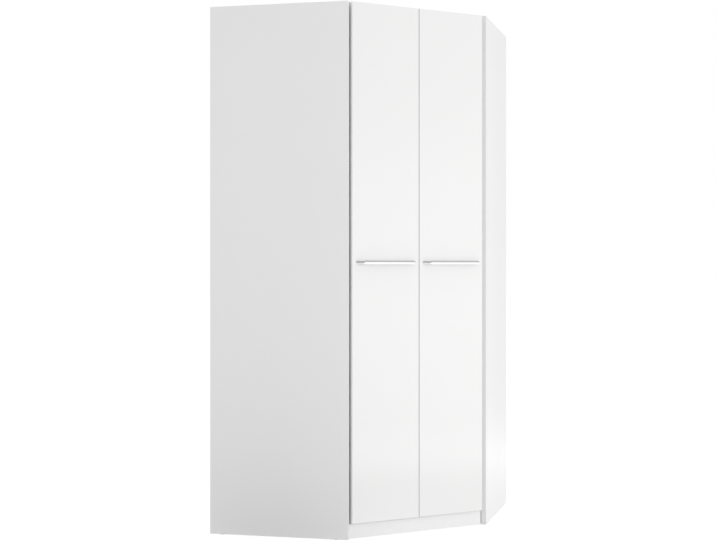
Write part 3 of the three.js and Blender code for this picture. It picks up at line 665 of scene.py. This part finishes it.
# Door buffers
# Soft clear plastic domes, stuck to the back of each door, that meet the top board's front edge.
def buffer_finish(name):
    material, wire = paint(name)
    place = wire.add("TexCoord", out="Object")
    haze = noise(wire, place, 900.0, 2)
    tone = haze.mix((0.74, 0.77, 0.79, 1), (0.82, 0.84, 0.85, 1))
    surface(
        wire,
        tone,
        0.25 + 0.15 * haze,
        raised(wire, haze, 0.00002),
        transmission_weight=0.45,
        ior=1.45,
    )
    return material


soft_clear = buffer_finish("soft_clear_plastic")
for side in ("left", "right"):
    repaint(f"{side}_door_buffer", soft_clear)


# Hinges
# Concealed cup hinges of pressed steel, three to a door. The cup is let into the back of the door,
# the plate is screwed to the side panel, and the arm is fixed to the plate by one screw.
cup_screw_offset, cup_screw_half = 0.006, 0.024
plate_screw_half, plate_foot_to_wing, plate_rib_length = 0.016, 0.0024, 0.040
arm_seam, arm_thickness = 0.0003, 0.003
screw_proud = 0.0001
inwards = {"left": Vector((1, 1, 0)).normalized(), "right": Vector((-1, 1, 0)).normalized()}
for node in nodes:
    if "hinge" in node:
        repaint(node, nickel)
for side in ("left", "right"):
    into_door = 1 if side == "left" else -1
    inward = inwards[side]
    for place_name in ("lower", "middle", "upper"):
        hinge = f"{side}_{place_name}_hinge"
        low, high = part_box(f"{hinge}_cup")
        middle = (low + high) / 2
        x, y = middle.x + into_door * cup_screw_offset, high.y + screw_proud
        heights = (middle.z - cup_screw_half, middle.z + cup_screw_half)
        screws(f"{hinge}_cup_screws", [((x, y, z), (0, 1, 0)) for z in heights], f"{side}_door")

        low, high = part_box(f"{hinge}_plate")
        rib_tall = math.sqrt(2) * (high.y - low.y) - plate_rib_length
        foot = (low + high) / 2 - inward * (rib_tall / 2)
        wing = foot + inward * (plate_foot_to_wing + screw_proud)
        places = [(wing + Vector((0, 0, way * plate_screw_half)), inward) for way in (-1, 1)]
        screws(f"{hinge}_plate_screws", places, "carcass")
        crown = foot + inward * (rib_tall + arm_seam + arm_thickness + screw_proud)
        screws(f"{hinge}_arm_screw", [(crown, inward)], "carcass", head=0.0042)


# Handles
# A cast bow, chrome plated, whose crowned bar bends down into two leaning legs. Two screws through
# the door hold it, with their heads on the inside.
handle_lean, handle_bend, bar_depth = 0.019, 0.009, 0.008
leg_tall, foot_thick, leg_taper = 0.011, 0.015, 0.8
crown_rise, back_round = 0.0036, 0.0012


def handle_section(thick, tall, crown_steps=20, round_steps=4):
    """The outline of the bow, as (outwards, upwards): crowned in front and flat behind."""
    section = []
    for step in range(crown_steps + 1):
        turn = (step / crown_steps - 0.5) * math.pi
        section.append((thick / 2 - crown_rise * (1 - math.cos(turn)), tall / 2 * math.sin(turn)))
    for way in (1, -1):
        arc = []
        for step in range(round_steps + 1):
            turn = math.pi / 2 * step / round_steps
            out = back_round - thick / 2 - back_round * math.sin(turn)
            arc.append((out, way * (tall / 2 - back_round + back_round * math.cos(turn))))
        section += arc if way > 0 else arc[::-1]
    return section


def handle_stations(half, seat, front, bar_tall, leg_steps=6, bend_steps=16):
    """(place, thickness, height) from the right foot to the end of its bend."""
    bar_y = front + bar_depth / 2
    foot = Vector((half - foot_thick / 2, seat))
    corner = Vector((half - handle_lean, bar_y))
    leg_end = corner + (foot - corner).normalized() * handle_bend
    bar_end = Vector((corner.x - handle_bend, bar_y))
    stations = []
    for step in range(leg_steps):
        share = step / leg_steps
        thick = foot_thick + (bar_depth - foot_thick) * share ** leg_taper
        stations.append((foot.lerp(leg_end, share), thick, leg_tall))
    for step in range(bend_steps + 1):
        share = step / bend_steps
        place = leg_end * (1 - share) ** 2 + corner * 2 * share * (1 - share) + bar_end * share**2
        ease = share * share * (3 - 2 * share)
        stations.append((place, bar_depth, leg_tall + (bar_tall - leg_tall) * ease))
    return stations


for side in ("left", "right"):
    low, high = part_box(f"{side}_handle")
    middle = (low + high) / 2
    half = (high.x - low.x) / 2
    right_half = handle_stations(half, high.y, low.y, high.z - low.z)
    left_half = [(Vector((-at.x, at.y)), thick, tall) for at, thick, tall in reversed(right_half)]
    stations = right_half + left_half
    rings = []
    for index, (at, thick, tall) in enumerate(stations):
        before = stations[max(index - 1, 0)][0]
        after = stations[min(index + 1, len(stations) - 1)][0]
        ahead = (after - before).normalized()
        if index == 0:
            ahead = Vector((0, -1))
        if index == len(stations) - 1:
            ahead = Vector((0, 1))
        rings.append([
            (middle.x + at.x - ahead.y * out, at.y + ahead.x * out, middle.z + up)
            for out, up in handle_section(thick, tall)
        ])
    bow = skin(f"{side}_handle_bow", rings, chrome)
    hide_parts(f"{side}_handle")
    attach(bow, f"{side}_door")
    screw_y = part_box(f"{side}_door")[1].y + screw_proud
    feet = [middle.x + way * (half - foot_thick / 2) for way in (-1, 1)]
    places = [((x, screw_y, middle.z), (0, 1, 0)) for x in feet]
    screws(f"{side}_handle_screws", places, f"{side}_door", head=0.004, dome=0.0014)
